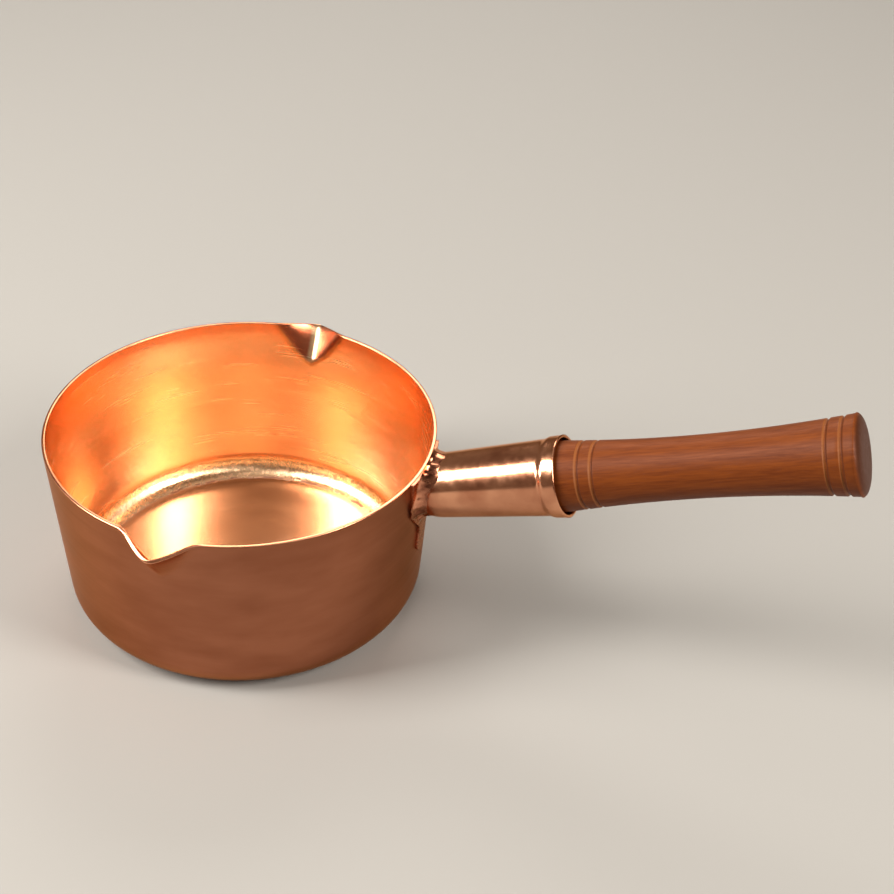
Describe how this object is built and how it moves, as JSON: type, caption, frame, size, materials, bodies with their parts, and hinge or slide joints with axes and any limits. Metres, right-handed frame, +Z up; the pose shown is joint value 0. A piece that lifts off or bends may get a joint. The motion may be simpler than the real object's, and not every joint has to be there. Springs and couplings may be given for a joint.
{
  "type": "copper saucepan",
  "caption": "Round flat-bottomed copper saucepan with opposite pouring spouts, a brazed tube socket and a turned wooden handle that rises from the rim.",
  "frame": {"origin": "centre of the flat underside, on the surface that the pan stands on", "axes": "+Z up along the pan's axis, +X towards the handle's end, the pouring spouts along +Y and -Y"},
  "size_m": [0.3291, 0.178, 0.1384],
  "materials": {
    "pan_copper": "bare copper, satin brushed on the outside and burnished inside",
    "fitting_copper": "bare copper, polished",
    "braze": "brazing metal, uneven and dark in its hollows",
    "handle_wood": "reddish brown, satin oiled",
    "pin_steel": "dull"
  },
  "bodies": {
    "root": {"pan_body": "pan_copper", "saddle_plate": "fitting_copper", "handle_socket": "fitting_copper", "socket_braze": "braze", "wooden_handle": "handle_wood", "handle_pin": "pin_steel"}
  },
  "joints": []
}
